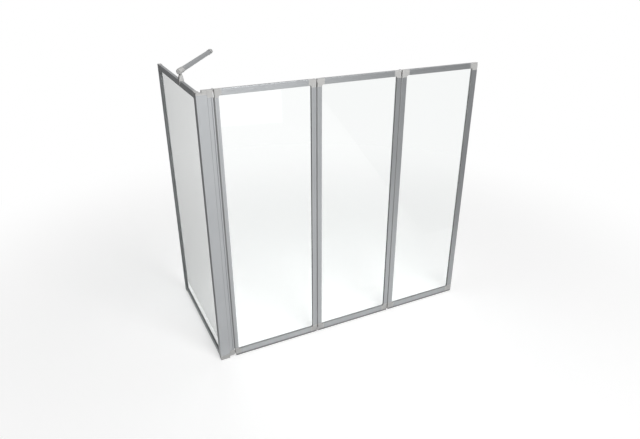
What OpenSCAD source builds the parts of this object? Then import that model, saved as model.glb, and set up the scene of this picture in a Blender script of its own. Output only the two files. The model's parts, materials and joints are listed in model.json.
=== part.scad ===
// Folding bath screen with a fixed side panel.
//
// Three framed glass leaves hang one on the next from a corner post. Their hinge axes lie behind,
// in front of and again behind the leaves, so the three fold flat against each other. Behind the
// post a framed side panel runs back into a wall profile, and a stabilising bar ties its top rail
// to the wall.
//
// Origin: centre of the post's foot on the tub rim. +X runs along the closed leaves, away from
// the post, +Y runs back to the wall, +Z is up. All sizes are in millimetres.

/* [Panels] */
// Height of every framed panel over its rails
frame_h = 1200; // [900:10:1400]
// Width of the leaf that hangs on the post
leaf_1_w = 410; // [320:1:520]
// Width of the middle leaf
leaf_2_w = 393; // [320:1:520]
// Width of the outer leaf
leaf_3_w = 404; // [320:1:520]
// Height of the leaves above the rim, which the drip seals bridge
leaf_lift = 10; // [8:1:14]
// Height of the side panel above the rim, which the sill seal fills
side_lift = 2; // [1.5:0.5:4]
// Distance from the leaves' front to the wall
wall_run = 652; // [500:1:900]

/* [Frame profiles] */
// Depth of every frame profile, front to back
frame_d = 13; // [12:0.5:16]
// Wall of the frame profiles
wall_t = 1.4; // [1.2:0.1:1.8]
// Height of the top and bottom rails
rail_h = 24; // [22:1:32]
// Width of the hinge stile of leaf 1
near_stile_1 = 15; // [15:1:26]
// Width of the hinge stile of leaf 2
near_stile_2 = 20; // [16:1:28]
// Width of the hinge stile of leaf 3
near_stile_3 = 24; // [16:1:30]
// Width of the far stile of leaf 1
far_stile_1 = 21; // [16:1:28]
// Width of the far stile of leaf 2
far_stile_2 = 20; // [16:1:28]
// Width of the free closing stile of leaf 3
far_stile_3 = 28; // [18:1:36]
// Width of both stiles of the side panel
side_stile = 24; // [18:1:32]
// Width of the fine lengthwise line on each profile
line_w = 0.8; // [0.5:0.1:1.2]
// Depth of that line
line_d = 0.5; // [0.3:0.1:0.7]

/* [Corner blocks] */
// How far a corner block reaches along its rail, past the stile
block_reach = 12; // [9:1:20]
// How far it reaches along its stile, past the rail
block_drop = 8; // [8:1:16]
// Radius of its inner corner
block_fillet = 7; // [3:0.5:7.5]
// Radius of its outer upright edge, beside the hinge
block_edge_r = 2; // [1.5:0.5:3]
// Length of the spigots that plug into the profiles
spigot_l = 20; // [12:1:30]

/* [Glazing] */
// Thickness of the safety glass
glass_t = 4; // [3:0.5:5]
// How far the glass reaches into its frame
glass_bite = 6; // [4:0.5:6]
// Depth of the glazing channel
channel_d = 8; // [7.5:0.5:9]
// How far the gasket shows past the frame
gasket_lip = 1; // [0.5:0.25:2]

/* [Hinges] */
// Gap between neighbouring leaves, open or folded
hinge_gap = 5; // [4.5:0.5:7]
// Diameter of the hinge pins
pin_d = 4; // [3:0.5:4.5]
// Height of one hinge ear
ear_h = 6; // [4:0.5:9]
// Width that a joint seal leaves open to the next frame
seal_gap = 0.6; // [0.4:0.1:1.2]

/* [Corner post] */
// Width of the post's face
post_w = 42; // [38:1:60]
// Wall of the post
post_t = 1.6; // [1.4:0.1:2.2]
// Length of the post's legs along the side panel
post_leg = 14; // [10:1:20]
// Height of the foot block
foot_h = 22; // [12:1:40]
// Height of the skirt of the post cap
cap_h = 9; // [6:1:16]
// Width of the cap's lower step, over the side panel
step_w = 22; // [19:1:26]
// Width of the hinge profile beside the post
hinge_profile_w = 21.6; // [20:0.2:30]
// Height of the hinge profile's end caps
hinge_cap_h = 28; // [24:1:40]

/* [Stabilising bar] */
// Outer diameter of the bar
bar_d = 20; // [16:1:24]
// Wall of the bar's tube
bar_t = 1.2; // [1:0.1:2]
// Distance from the leaves' front to the bar's clamp
bar_seat_run = 243; // [150:1:400]
// Distance along the wall from the post's outer edge to the bar's socket
bar_wall_reach = 247; // [150:1:400]
// Height of the bar's axis over the side panel
bar_rise = 37; // [34:1:60]
// Length of the clamp along the rail
clamp_l = 24; // [20:1:36]

/* [Wall profile] */
// Depth of the wall profile
channel_leg = 22; // [16:1:28]
// Web of the wall profile
web_t = 2; // [1.5:0.1:3]
// Diameter of its three wall fixing holes
wall_hole_d = 5.5; // [4:0.5:7]
// Distance between neighbouring wall fixing holes
wall_hole_pitch = 500; // [300:10:580]

/* [Hidden] */
$fn = 48;
eps = 0.01;
seat = 0.3;              // clearance between pieces that lie side by side
slip = 0.2;              // clearance of a spigot or a seal in its profile
seam = 0.4;              // shadow line between the post and the hinge profile
run_fit = 0.05;          // radial clearance of a pin in the ear that turns on it
push_fit = 0.02;         // radial clearance of a pin in the ear that holds it
edge_r = 1.4;            // rounding of the profiles' long edges
corner_r = 2;            // rounding of a corner block's outer corner, seen from the front

post_x = -post_w / 2;                       // outer edge of the post
front_y = -frame_d / 2;
back_y = frame_d / 2;
wall_y = front_y + wall_run;
leaf_top = leaf_lift + frame_h;
side_top = side_lift + frame_h;
cavity = frame_d - 2 * wall_t;              // clear width inside the profiles

// Leaves, from the post outwards
leaf_w = [leaf_1_w, leaf_2_w, leaf_3_w];
near_w = [near_stile_1, near_stile_2, near_stile_3];
far_w = [far_stile_1, far_stile_2, far_stile_3];
fold_side = [1, -1, 1];                     // +1: hinge axis behind the leaves, -1: in front
hinge_profile_x = post_x + post_w + seam;
leaf_1_x = hinge_profile_x + hinge_profile_w + hinge_gap;
leaf_2_x = leaf_1_x + leaf_w[0] + hinge_gap;
leaf_3_x = leaf_2_x + leaf_w[1] + hinge_gap;
leaf_x = [leaf_1_x, leaf_2_x, leaf_3_x];
axis_off = (frame_d + hinge_gap) / 2;       // hinge axis from the leaves' middle plane

// Ears stay clear of the rounded upright edge of the block that swings round them
ear_clear = 0.35;
ear_r = (hinge_gap / 2 + block_edge_r) * sqrt(2) - block_edge_r - ear_clear;
ear_neck = frame_d / 2;
ear_play = 0.3;
pin_head_d = min(pin_d + 2.6, 2 * ear_r - 0.6);
pin_head_h = 1.8;

// Key slots that hold the joint seals and the drip seals
key_w = 3;
key_head_w = 6;
key_head_t = 1.2;
key_fit = 0.1;
bulb_t = 1;              // wall of the hollow joint seals
blade_t = 1.2;           // thickness of the drip seals' blades
blade_gap = 1;           // height of the blades' tips over the rim

// Side panel, in its own frame: along +Y from the post, between the legs of post and wall profile
side_x = post_x + post_t + seat + frame_d / 2;
side_y = back_y + seat;
wall_slack = 3;                             // room behind the side panel to level it
side_w = wall_y - web_t - wall_slack - side_y;
leg_face = frame_d / 2 + seat;              // inner face of those legs, from the panel's middle

// Hinge profile: groove in its face, and the tongue that hooks it into the post
groove_x = 11.2;
groove_w = 4.4;
groove_d = 3;
tongue_t = 2.8;
tongue_head = 5.2;
tongue_head_t = 1.2;
plug_l = 9;

// Screws and holes of the fixed frame
screw_d = 3.9;
screw_l = 9;
screw_head_d = 7.5;
screw_head_h = 2.2;
screw_fit = 0.1;
screw_levels = [0.12, 0.5, 0.88];
set_screw_d = 5;
set_screw_key = 2.5;
small_screw_d = 2.9;
small_screw_l = 6.5;
small_head_d = 5.6;
small_head_h = 1.8;

// Stabilising bar
clamp_y = front_y + bar_seat_run;
bar_z = side_top + bar_rise;
socket_x = post_x + bar_wall_reach;
bar_dx = socket_x - side_x;
bar_dy = wall_y - clamp_y;
bar_run = norm([bar_dx, bar_dy]);
bar_turn = atan2(bar_dy, bar_dx);
sleeve_t = 1.4;
sleeve_d = bar_d + 2 * sleeve_t;
sleeve_l = 27;
sleeve_back = 18;
sleeve_round = 6;
sleeve_fit = 0.1;
elbow_web = 8;
socket_l = 26;
socket_floor = (bar_d / 2) * bar_dx / bar_dy + 3;
socket_hole_l = (socket_floor + wall_hole_d / 2 * cos(bar_turn)) / sin(bar_turn) + 0.2;
socket_screw_at = bar_run - socket_l + small_head_d;
neck_d = 12;
neck_l = 4;
stem_d = 8;
stem_l = 13;
clamp_t = 3;
clamp_drop = 15;
clamp_deck = 5;
clamp_w = frame_d + 2 * (slip + clamp_t);
boss_h = bar_rise - sleeve_d / 2 - neck_l;  // top of the clamp's boss over the rail

// ---------------------------------------------------------------- colours
module aluminium() { color("silver") children(); }
module light_plastic() { color("gainsboro") children(); }
module seal_grey() { color("dimgray") children(); }
module clear_glass() { color([0.8, 0.9, 0.9, 0.4]) children(); }
module steel() { color("slategray") children(); }

// ---------------------------------------------------------------- shared shapes

// Outline of a profile or block, seen along it: outer edge at x = 0 with rounded corners
module bar_outline(w, r) {
    translate([r, -frame_d / 2]) square([w - r, frame_d]);
    translate([0, r - frame_d / 2]) square([r + eps, frame_d - 2 * r]);
    for (s = [-1, 1]) translate([r, s * (frame_d / 2 - r)]) circle(r);
}

// Frame profile: a hollow chamber on the outside, a glazing channel on the inside and a fine
// line along both faces. A keyed one has a slot in its outer edge for a seal.
module member_section(w, keyed) {
    difference() {
        bar_outline(w, edge_r);
        translate([wall_t, -cavity / 2]) square([w - channel_d - 2 * wall_t, cavity]);
        translate([w - channel_d, -cavity / 2]) square([channel_d + eps, cavity]);
        for (s = [-1, 1]) translate([w / 2, s * frame_d / 2]) square([line_w, 2 * line_d], center = true);
        if (keyed) translate([-eps, -key_w / 2]) square([wall_t + 2 * eps, key_w]);
    }
}

// Upright profile between two corner blocks, outer edge at x = 0
module stile(w, keyed = false) {
    translate([0, 0, rail_h + block_drop])
        linear_extrude(frame_h - 2 * (rail_h + block_drop)) member_section(w, keyed);
}

module top_rail(w, near, far) {
    translate([near + block_reach, 0, frame_h]) rotate([0, 90, 0])
        linear_extrude(w - near - far - 2 * block_reach) member_section(rail_h, false);
}

module bottom_rail(w, near, far, keyed) {
    translate([w - far - block_reach, 0, 0]) rotate([0, -90, 0])
        linear_extrude(w - near - far - 2 * block_reach) member_section(rail_h, keyed);
}

// Face of a corner block: rail leg, stile leg and the round inner corner
module block_face(w) {
    translate([corner_r, 0]) square([w + block_reach - corner_r, rail_h]);
    translate([0, corner_r]) square([w, rail_h + block_drop - corner_r]);
    translate([corner_r, corner_r]) circle(corner_r);
    translate([w, rail_h]) difference() {
        translate([-eps, -eps]) square(block_fillet + eps);
        translate([block_fillet, block_fillet]) circle(block_fillet);
    }
}

// Moulded corner block for a stile w wide, at the lower hinge corner of a panel. It covers the
// corner from both sides, holds the corner of the glass and plugs into both profiles.
module corner_block(w) {
    reach = w + block_reach;
    rise = rail_h + block_drop;
    thick = cavity - 2 * slip;
    difference() {
        intersection() {
            rotate([90, 0, 0]) linear_extrude(frame_d, center = true) block_face(w);
            linear_extrude(rise) bar_outline(reach, block_edge_r);
        }
        translate([w - channel_d, -cavity / 2, rail_h - channel_d]) cube([reach, cavity, rise]);
    }
    translate([reach - edge_r, -thick / 2, wall_t + slip])
        cube([edge_r + spigot_l, thick, rail_h - channel_d - 2 * (wall_t + slip)]);
    translate([wall_t + slip, -thick / 2, rise - edge_r])
        cube([w - channel_d - 2 * (wall_t + slip), thick, edge_r + spigot_l]);
}

// Puts a lower hinge-side block at another corner of a panel w wide
module at_top() { translate([0, 0, frame_h]) mirror([0, 0, 1]) children(); }
module at_far(w) { translate([w, 0, 0]) mirror([1, 0, 0]) children(); }

// Turns a shape drawn for a hinge behind the leaves into one in front of them
module on_side(s) {
    if (s < 0) mirror([0, 1, 0]) children();
    else children();
}

// Adds a hinge ear to the piece whose outer edge is at x = 0. Level 0 is the ear at the end of
// the frame, level 1 the next one, where the neighbour's ear is at level 0.
module with_ear(side, level, fit) {
    ear_z = level * (ear_h + ear_play / 2);
    difference() {
        union() {
            children();
            on_side(side) translate([0, 0, ear_z]) linear_extrude(ear_h - ear_play / 2) {
                translate([-hinge_gap / 2, axis_off]) circle(ear_r);
                translate([-hinge_gap / 2, axis_off - hinge_gap / 2 - ear_neck])
                    square([ear_r, hinge_gap / 2 + ear_neck]);
            }
        }
        on_side(side) translate([-hinge_gap / 2, axis_off, ear_z - 1])
            cylinder(h = ear_h + 2, r = pin_d / 2 + fit);
    }
}

// Glass of a panel w wide, resting in the channels of its frame
module pane(w, near, far, spread = 0) {
    translate([near - glass_bite, -(glass_t + spread) / 2, rail_h - glass_bite])
        cube([w - near - far + 2 * glass_bite, glass_t + spread, frame_h - 2 * (rail_h - glass_bite)]);
}

module rounded_rect(x0, z0, x1, z1, r) {
    translate([x0 + r, z0]) square([x1 - x0 - 2 * r, z1 - z0]);
    translate([x0, z0 + r]) square([x1 - x0, z1 - z0 - 2 * r]);
    for (x = [x0 + r, x1 - r], z = [z0 + r, z1 - r]) translate([x, z]) circle(r);
}

// Glazing gasket: it wraps the edge of the glass all round and fills the channel beside it
module gasket_ring(w, near, far) {
    out = channel_d - slip;
    difference() {
        rotate([90, 0, 0]) linear_extrude(cavity - 2 * key_fit, center = true) difference() {
            translate([near - out, rail_h - out])
                square([w - near - far + 2 * out, frame_h - 2 * rail_h + 2 * out]);
            rounded_rect(near + gasket_lip, rail_h + gasket_lip, w - far - gasket_lip,
                frame_h - rail_h - gasket_lip, block_fillet - gasket_lip);
        }
        pane(w, near, far);
    }
}

// Pan head screw along +Z: the head stands on z = 0, the shank runs down from it
module pan_screw(d, l, head_d, head_h) {
    translate([0, 0, -l]) cylinder(h = l, d = d);
    cylinder(h = head_h / 2, d = head_d);
    translate([0, 0, head_h / 2]) cylinder(h = head_h / 2, d1 = head_d, d2 = head_d * 0.6);
}

// Grub screw that fills a wall of thickness t, from its inner end at z = 0
module grub_screw(t) {
    difference() {
        cylinder(h = t, d = set_screw_d);
        translate([0, 0, t / 2]) cylinder(h = t, d = set_screw_key, $fn = 6);
    }
}

// ---------------------------------------------------------------- side panel
module in_side_panel() { translate([side_x, side_y, side_lift]) rotate([0, 0, 90]) children(); }

// The screw positions of the side panel: through the tub-side leg of the post or wall profile
module at_frame_screws(y) {
    for (level = screw_levels)
        translate([side_x + leg_face + post_t, y, level * side_top]) rotate([0, 90, 0]) children();
}
post_screw_y = back_y + post_leg / 2;
wall_screw_y = wall_y - web_t - wall_slack - (side_stile - channel_d) / 2;

module side_wall_stile() {
    aluminium() difference() {
        in_side_panel() at_far(side_w) stile(side_stile);
        at_frame_screws(wall_screw_y)
            translate([0, 0, -screw_l]) cylinder(h = screw_l, d = screw_d + 2 * screw_fit);
    }
}

module side_front_stile() {
    aluminium() difference() {
        in_side_panel() stile(side_stile);
        at_frame_screws(post_screw_y)
            translate([0, 0, -screw_l]) cylinder(h = screw_l, d = screw_d + 2 * screw_fit);
    }
}

module side_top_rail() { aluminium() in_side_panel() top_rail(side_w, side_stile, side_stile); }

module side_bottom_rail() {
    aluminium() in_side_panel() bottom_rail(side_w, side_stile, side_stile, false);
}

module side_corner_blocks() {
    light_plastic() in_side_panel() {
        corner_block(side_stile);
        at_top() corner_block(side_stile);
        at_far(side_w) corner_block(side_stile);
        at_far(side_w) at_top() corner_block(side_stile);
    }
}

module side_glass() { clear_glass() in_side_panel() pane(side_w, side_stile, side_stile); }

module side_gasket() { seal_grey() in_side_panel() gasket_ring(side_w, side_stile, side_stile); }

module side_sill_seal() {
    seal_grey() in_side_panel()
        translate([0, -cavity / 2, -side_lift]) cube([side_w, cavity, side_lift]);
}

module frame_screws() {
    steel() {
        for (y = [post_screw_y, wall_screw_y])
            at_frame_screws(y) pan_screw(screw_d, screw_l, screw_head_d, screw_head_h);
    }
}

module wall_profile() {
    aluminium() difference() {
        translate([side_x, wall_y, 0]) linear_extrude(side_top) difference() {
            translate([-leg_face - post_t, -channel_leg]) square([2 * (leg_face + post_t), channel_leg]);
            translate([-leg_face, -channel_leg - eps]) square([2 * leg_face, channel_leg - web_t + eps]);
        }
        for (k = [-1, 0, 1]) translate([side_x, wall_y + 1, side_top / 2 + k * wall_hole_pitch])
            rotate([90, 0, 0]) cylinder(h = web_t + 2, d = wall_hole_d);
        at_frame_screws(wall_screw_y)
            translate([0, 0, -post_t - 1]) cylinder(h = post_t + 2, d = screw_d + 2 * screw_fit);
    }
}

// ---------------------------------------------------------------- corner post

// Outline of the post: its box and the two legs that hold the side panel
module post_outline() {
    translate([post_x, 0]) bar_outline(post_w, edge_r);
    for (s = [-1, 1]) translate([side_x + s * (leg_face + post_t / 2) - post_t / 2, 0])
        square([post_t, back_y + post_leg]);
}

// The two chambers of the post, shrunk by the clearance c
module post_chambers(c) {
    depth = frame_d - 2 * post_t - 2 * c;
    for (x = [[post_t, step_w - post_t / 2], [step_w + post_t / 2, post_w - post_t]])
        translate([post_x + x[0] + c, -depth / 2]) square([x[1] - x[0] - 2 * c, depth]);
}

module corner_post() {
    aluminium() difference() {
        translate([0, 0, foot_h]) linear_extrude(side_top - cap_h - foot_h) difference() {
            post_outline();
            post_chambers(0);
            translate([post_x + post_w - post_t - eps, -tongue_t / 2 - slip])
                square([post_t + 2 * eps, tongue_t + 2 * slip]);
        }
        at_frame_screws(post_screw_y)
            translate([0, 0, -post_t - 1]) cylinder(h = post_t + 2, d = screw_d + 2 * screw_fit);
    }
}

module post_cap() {
    light_plastic() {
        translate([0, 0, side_top - cap_h]) linear_extrude(cap_h) post_outline();
        translate([post_x + step_w, 0, side_top - cap_h])
            linear_extrude(leaf_top - side_top + cap_h) bar_outline(post_w - step_w, edge_r);
        translate([0, 0, side_top - cap_h - plug_l]) linear_extrude(plug_l + eps) post_chambers(slip);
    }
}

module post_foot() {
    light_plastic() {
        linear_extrude(foot_h) post_outline();
        translate([0, 0, foot_h - eps]) linear_extrude(plug_l) post_chambers(slip);
    }
}

// Face groove of the hinge profile, with a wall of thickness t round it
module hinge_groove(t) {
    translate([groove_x - t, front_y - eps]) square([groove_w + 2 * t, groove_d + t + eps]);
}

module hinge_profile_chamber(c) {
    difference() {
        translate([wall_t + c, -cavity / 2 + c])
            square([hinge_profile_w - 2 * (wall_t + c), cavity - 2 * c]);
        hinge_groove(wall_t + c);
    }
}

module hinge_profile() {
    aluminium() translate([hinge_profile_x, 0, leaf_lift + hinge_cap_h])
        linear_extrude(frame_h - 2 * hinge_cap_h) {
            difference() {
                translate([hinge_profile_w, 0]) mirror([1, 0]) bar_outline(hinge_profile_w, edge_r);
                hinge_profile_chamber(0);
                hinge_groove(0);
            }
            translate([-seam - post_t - slip - eps, -tongue_t / 2])
                square([seam + post_t + slip + 2 * eps, tongue_t]);
            translate([-seam - post_t - slip - tongue_head_t, -tongue_head / 2])
                square([tongue_head_t, tongue_head]);
        }
}

// End cap of the hinge profile, in the frame of its outer edge, with the ear for leaf 1
module hinge_cap(level) {
    with_ear(fold_side[0], level, run_fit) {
        linear_extrude(hinge_cap_h) bar_outline(hinge_profile_w, block_edge_r);
        translate([hinge_profile_w, 0, hinge_cap_h - eps]) mirror([1, 0, 0])
            linear_extrude(plug_l) hinge_profile_chamber(slip);
    }
}

module at_hinge_profile() {
    translate([leaf_1_x - hinge_gap, 0, leaf_lift]) mirror([1, 0, 0]) children();
}
module hinge_top_cap() { light_plastic() at_hinge_profile() at_top() hinge_cap(1); }
module hinge_bottom_cap() { light_plastic() at_hinge_profile() hinge_cap(0); }

// ---------------------------------------------------------------- stabilising bar
module at_clamp() { translate([side_x, clamp_y, side_top]) children(); }
module along_bar() { translate([side_x, clamp_y, bar_z]) rotate([0, 0, bar_turn]) children(); }

module rail_clamp() {
    light_plastic() at_clamp() difference() {
        union() {
            for (s = [-1, 1]) translate([s * (clamp_w - clamp_t) / 2, 0, (clamp_deck - clamp_drop) / 2])
                cube([clamp_t, clamp_l, clamp_deck + clamp_drop], center = true);
            translate([0, 0, clamp_deck / 2]) cube([clamp_w, clamp_l, clamp_deck], center = true);
            hull() {
                translate([0, 0, clamp_deck]) cube([clamp_w, clamp_l, eps], center = true);
                translate([0, 0, boss_h - 1]) cylinder(h = 1, d = neck_d + 2, $fn = 32);
            }
        }
        translate([0, 0, boss_h - stem_l - 1]) cylinder(h = stem_l + 2, d = stem_d + 2 * run_fit);
        translate([0, 0, -clamp_drop / 2]) rotate([0, 90, 0])
            cylinder(h = clamp_w, d = set_screw_d + 2 * screw_fit);
    }
}

// Elbow: a sleeve along the bar on an upright stem that turns in the clamp
module bar_elbow() {
    light_plastic() {
        along_bar() rotate([0, 90, 0]) rotate_extrude() difference() {
            union() {
                translate([0, sleeve_round - sleeve_back])
                    square([sleeve_d / 2, sleeve_back - sleeve_round + sleeve_l]);
                translate([0, -sleeve_back])
                    square([sleeve_d / 2 - sleeve_round, sleeve_round + eps]);
                intersection() {
                    translate([sleeve_d / 2 - sleeve_round, sleeve_round - sleeve_back])
                        circle(sleeve_round);
                    translate([0, -sleeve_back]) square([sleeve_d, sleeve_back]);
                }
            }
            translate([-eps, elbow_web]) square([bar_d / 2 + sleeve_fit + eps, sleeve_l]);
        }
        at_clamp() translate([0, 0, boss_h]) cylinder(h = neck_l + sleeve_round / 2, d = neck_d);
        at_clamp() translate([0, 0, boss_h - stem_l]) cylinder(h = stem_l + eps, d = stem_d);
    }
}

module bar_tube() {
    aluminium() difference() {
        along_bar() translate([elbow_web + seat, 0, 0]) rotate([0, 90, 0]) difference() {
            cylinder(h = bar_run - socket_floor - elbow_web - 2 * seat, d = bar_d);
            translate([0, 0, -1]) cylinder(h = bar_run, d = bar_d - 2 * bar_t);
        }
        socket_screw_hole();
    }
}

// Screw hole from below through the socket's wall and the tube's
module socket_screw_hole() {
    along_bar() translate([socket_screw_at, 0, -sleeve_d])
        cylinder(h = sleeve_d, d = small_screw_d + 2 * screw_fit);
}

// Socket at the wall: a sleeve round the bar's end, cut flush with the wall
module bar_wall_socket() {
    light_plastic() difference() {
        along_bar() translate([bar_run - socket_l, 0, 0]) rotate([0, 90, 0])
            cylinder(h = 2 * socket_l, d = sleeve_d);
        along_bar() translate([bar_run - socket_l - 1, 0, 0]) rotate([0, 90, 0])
            cylinder(h = socket_l - socket_floor + 1, d = bar_d + 2 * sleeve_fit);
        translate([socket_x - 2 * socket_l, wall_y, bar_z - sleeve_d])
            cube([4 * socket_l, 2 * socket_l, 2 * sleeve_d]);
        translate([socket_x, wall_y + 1, bar_z]) rotate([90, 0, 0])
            cylinder(h = socket_hole_l + 1, d = wall_hole_d);
        socket_screw_hole();
    }
}

// Grub screw that locks the clamp on its rail, and the screw that holds the bar in its socket
module bar_screws() {
    steel() {
        at_clamp() translate([frame_d / 2, 0, -clamp_drop / 2]) rotate([0, 90, 0])
            grub_screw(slip + clamp_t);
        along_bar() translate([socket_screw_at, 0, -sleeve_d / 2]) rotate([180, 0, 0])
            pan_screw(small_screw_d, small_screw_l, small_head_d, small_head_h);
    }
}

// ---------------------------------------------------------------- leaves (i = 0, 1, 2)
module in_leaf(i) { translate([leaf_x[i], 0, leaf_lift]) children(); }

module hinge_stile(i) { aluminium() in_leaf(i) stile(near_w[i], true); }
module far_stile(i) { aluminium() in_leaf(i) at_far(leaf_w[i]) stile(far_w[i]); }
module leaf_top_rail(i) { aluminium() in_leaf(i) top_rail(leaf_w[i], near_w[i], far_w[i]); }
module leaf_bottom_rail(i) {
    aluminium() in_leaf(i) bottom_rail(leaf_w[i], near_w[i], far_w[i], true);
}

module hinge_top_block(i) {
    light_plastic() in_leaf(i) at_top() with_ear(fold_side[i], 0, push_fit) corner_block(near_w[i]);
}
module hinge_bottom_block(i) {
    light_plastic() in_leaf(i) with_ear(fold_side[i], 1, push_fit) corner_block(near_w[i]);
}

// The outer leaf's far blocks carry no further leaf, so they have no ears
module far_block(i, level) {
    if (i < 2) with_ear(fold_side[i + 1], level, run_fit) corner_block(far_w[i]);
    else corner_block(far_w[i]);
}
module far_top_block(i) {
    light_plastic() in_leaf(i) at_far(leaf_w[i]) at_top() far_block(i, 1);
}
module far_bottom_block(i) {
    light_plastic() in_leaf(i) at_far(leaf_w[i]) far_block(i, 0);
}

module leaf_glass(i) { clear_glass() in_leaf(i) pane(leaf_w[i], near_w[i], far_w[i]); }
module leaf_gasket(i) { seal_grey() in_leaf(i) gasket_ring(leaf_w[i], near_w[i], far_w[i]); }

// Part of a seal that hooks into a key slot: neck through the wall, head behind it
module key_section() {
    translate([-eps, -key_w / 2 + key_fit]) square([wall_t + 2 * eps, key_w - 2 * key_fit]);
    translate([wall_t, -key_head_w / 2]) square([key_head_t, key_head_w]);
}

// Drip seal: two blades that hang from the bottom rail to just over the rim
module drip_seal(i) {
    w = leaf_w[i];
    hook_from = near_w[i] + block_reach + spigot_l + 1;
    hook_to = w - far_w[i] - block_reach - spigot_l - 1;
    drop = leaf_lift - blade_gap;
    seal_grey() in_leaf(i) {
        translate([w - corner_r, 0, 0]) rotate([0, -90, 0]) linear_extrude(w - 2 * corner_r) {
            translate([-blade_t, -cavity / 2]) square([blade_t, cavity]);
            for (s = [-1, 1]) translate([-drop, s * (cavity / 2 - blade_t / 2) - blade_t / 2])
                square([drop, blade_t]);
        }
        translate([hook_to, 0, 0]) rotate([0, -90, 0]) linear_extrude(hook_to - hook_from) key_section();
    }
}

// Joint seal: a hollow bulb on the hinge stile that fills the gap to the neighbouring frame
module joint_seal(i) {
    z0 = rail_h + block_drop + seat;
    h = frame_h - 2 * z0;
    bulb = hinge_gap - seal_gap;
    seal_grey() in_leaf(i) {
        translate([0, 0, z0]) linear_extrude(h) difference() {
            translate([-bulb, 0]) intersection() {
                bar_outline(bulb, block_edge_r);
                translate([0, -cavity / 2]) square([bulb, cavity]);
            }
            translate([-bulb + bulb_t, -cavity / 2 + bulb_t])
                square([bulb - 2 * bulb_t, cavity - 2 * bulb_t]);
        }
        translate([0, 0, z0 + spigot_l + 1]) linear_extrude(h - 2 * (spigot_l + 1)) key_section();
    }
}

// Hinge pins: one drops through the ears at the top of the leaf, one at the bottom
module hinge_pins(i) {
    steel() in_leaf(i) on_side(fold_side[i])
        for (z = [0, frame_h - 2 * ear_h]) translate([-hinge_gap / 2, axis_off, z]) {
            cylinder(h = 2 * ear_h + eps, d = pin_d);
            translate([0, 0, 2 * ear_h]) cylinder(h = pin_head_h / 2, d = pin_head_d);
            translate([0, 0, 2 * ear_h + pin_head_h / 2])
                cylinder(h = pin_head_h / 2, d1 = pin_head_d, d2 = pin_head_d * 0.6);
        }
}

wall_profile();
side_wall_stile();
side_front_stile();
side_top_rail();
side_bottom_rail();
side_corner_blocks();
side_glass();
side_gasket();
side_sill_seal();
frame_screws();
corner_post();
post_cap();
post_foot();
hinge_profile();
hinge_top_cap();
hinge_bottom_cap();
rail_clamp();
bar_screws();
bar_elbow();
bar_tube();
bar_wall_socket();
hinge_stile(0);  // leaf_1_hinge_stile
far_stile(0);  // leaf_1_far_stile
leaf_top_rail(0);  // leaf_1_top_rail
leaf_bottom_rail(0);  // leaf_1_bottom_rail
hinge_top_block(0);  // leaf_1_hinge_top_block
hinge_bottom_block(0);  // leaf_1_hinge_bottom_block
far_top_block(0);  // leaf_1_far_top_block
far_bottom_block(0);  // leaf_1_far_bottom_block
leaf_glass(0);  // leaf_1_glass
leaf_gasket(0);  // leaf_1_gasket
drip_seal(0);  // leaf_1_drip_seal
joint_seal(0);  // leaf_1_joint_seal
hinge_pins(0);  // leaf_1_hinge_pins
hinge_stile(1);  // leaf_2_hinge_stile
far_stile(1);  // leaf_2_far_stile
leaf_top_rail(1);  // leaf_2_top_rail
leaf_bottom_rail(1);  // leaf_2_bottom_rail
hinge_top_block(1);  // leaf_2_hinge_top_block
hinge_bottom_block(1);  // leaf_2_hinge_bottom_block
far_top_block(1);  // leaf_2_far_top_block
far_bottom_block(1);  // leaf_2_far_bottom_block
leaf_glass(1);  // leaf_2_glass
leaf_gasket(1);  // leaf_2_gasket
drip_seal(1);  // leaf_2_drip_seal
joint_seal(1);  // leaf_2_joint_seal
hinge_pins(1);  // leaf_2_hinge_pins
hinge_stile(2);  // leaf_3_hinge_stile
far_stile(2);  // leaf_3_far_stile
leaf_top_rail(2);  // leaf_3_top_rail
leaf_bottom_rail(2);  // leaf_3_bottom_rail
hinge_top_block(2);  // leaf_3_hinge_top_block
hinge_bottom_block(2);  // leaf_3_hinge_bottom_block
far_top_block(2);  // leaf_3_far_top_block
far_bottom_block(2);  // leaf_3_far_bottom_block
leaf_glass(2);  // leaf_3_glass
leaf_gasket(2);  // leaf_3_gasket
drip_seal(2);  // leaf_3_drip_seal
joint_seal(2);  // leaf_3_joint_seal
hinge_pins(2);  // leaf_3_hinge_pins
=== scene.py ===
"""Looks of the folding bath screen.

Frames of satin anodised aluminium meet in light moulded corner blocks, with clear safety glass, soft
grey seals and bright screws and pins. Hard pieces are finished from the solid of the same name: their
sharp edges are eased, as extruding, moulding and grinding leave them. Seals, screws and pins are drawn
anew by Geometry Nodes. Sizes are in metres, in the frame's own axes: X along the leaves, Y along the
side panel to the back, Z up.
"""

import json
import math

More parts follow.
